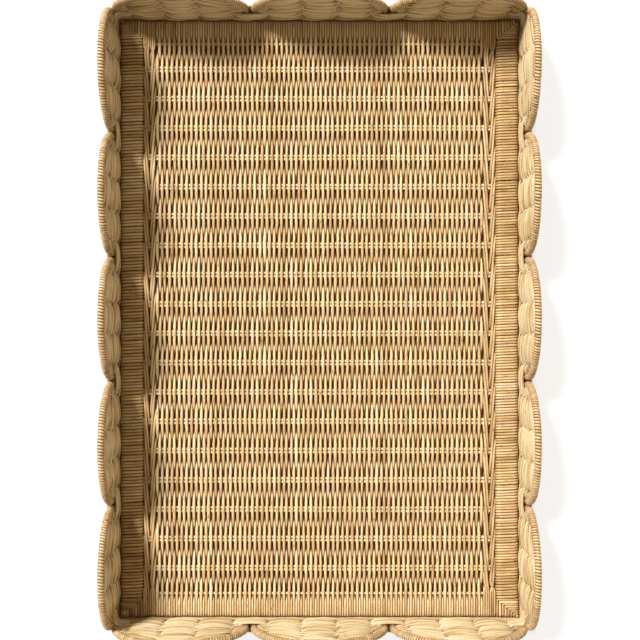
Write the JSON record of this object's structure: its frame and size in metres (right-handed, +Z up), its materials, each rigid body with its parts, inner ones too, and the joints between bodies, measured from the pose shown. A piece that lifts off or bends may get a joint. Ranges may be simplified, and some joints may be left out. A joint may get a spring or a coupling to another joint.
{
  "type": "serving tray",
  "caption": "Rectangular woven rattan serving tray with a flat floor in a wrapped frame and upright woven walls with a scalloped, wrapped rim.",
  "frame": {"origin": "on the surface that the tray stands on, under the middle of the tray", "axes": "+X towards the right-hand long wall, +Y towards the back wall, +Z up out of the tray"},
  "size_m": [0.4154, 0.613, 0.1],
  "materials": {
    "floor_cane": "satin, natural peeled rattan",
    "wrap_cane": "satin, natural rattan peel",
    "wall_cane": "matt, natural rattan core",
    "rattan_pole": "matt, natural rattan",
    "nail_steel": "bright drawn wire"
  },
  "bodies": {
    "root": {"corner_posts": "rattan_pole", "cross_ribs": "rattan_pole", "edge_braid_left": "floor_cane", "edge_braid_right": "floor_cane", "floor_canes_a": "floor_cane", "floor_canes_b": "floor_cane", "foot_rail_back": "rattan_pole", "foot_rail_front": "rattan_pole", "foot_rail_left": "rattan_pole", "foot_rail_right": "rattan_pole", "frame_nails": "nail_steel", "frame_poles_back": "rattan_pole", "frame_poles_front": "rattan_pole", "frame_poles_left": "rattan_pole", "frame_poles_right": "rattan_pole", "frame_wrap_back": "wrap_cane", "frame_wrap_front": "wrap_cane", "frame_wrap_left": "wrap_cane", "frame_wrap_right": "wrap_cane", "lower_weave_back": "wall_cane", "lower_weave_front": "wall_cane", "lower_weave_left": "wall_cane", "lower_weave_right": "wall_cane", "rim_cores": "rattan_pole", "rim_wrap_back_1": "wrap_cane", "rim_wrap_back_2": "wrap_cane", "rim_wrap_back_3": "wrap_cane", "rim_wrap_front_1": "wrap_cane", "rim_wrap_front_2": "wrap_cane", "rim_wrap_front_3": "wrap_cane", "rim_wrap_left_1": "wrap_cane", "rim_wrap_left_2": "wrap_cane", "rim_wrap_left_3": "wrap_cane", "rim_wrap_left_4": "wrap_cane", "rim_wrap_left_5": "wrap_cane", "rim_wrap_right_1": "wrap_cane", "rim_wrap_right_2": "wrap_cane", "rim_wrap_right_3": "wrap_cane", "rim_wrap_right_4": "wrap_cane", "rim_wrap_right_5": "wrap_cane", "scallop_weave_back_1": "wall_cane", "scallop_weave_back_2": "wall_cane", "scallop_weave_back_3": "wall_cane", "scallop_weave_front_1": "wall_cane", "scallop_weave_front_2": "wall_cane", "scallop_weave_front_3": "wall_cane", "scallop_weave_left_1": "wall_cane", "scallop_weave_left_2": "wall_cane", "scallop_weave_left_3": "wall_cane", "scallop_weave_left_4": "wall_cane", "scallop_weave_left_5": "wall_cane", "scallop_weave_right_1": "wall_cane", "scallop_weave_right_2": "wall_cane", "scallop_weave_right_3": "wall_cane", "scallop_weave_right_4": "wall_cane", "scallop_weave_right_5": "wall_cane", "stakes_back": "rattan_pole", "stakes_front": "rattan_pole", "stakes_left": "rattan_pole", "stakes_right": "rattan_pole"}
  },
  "joints": []
}
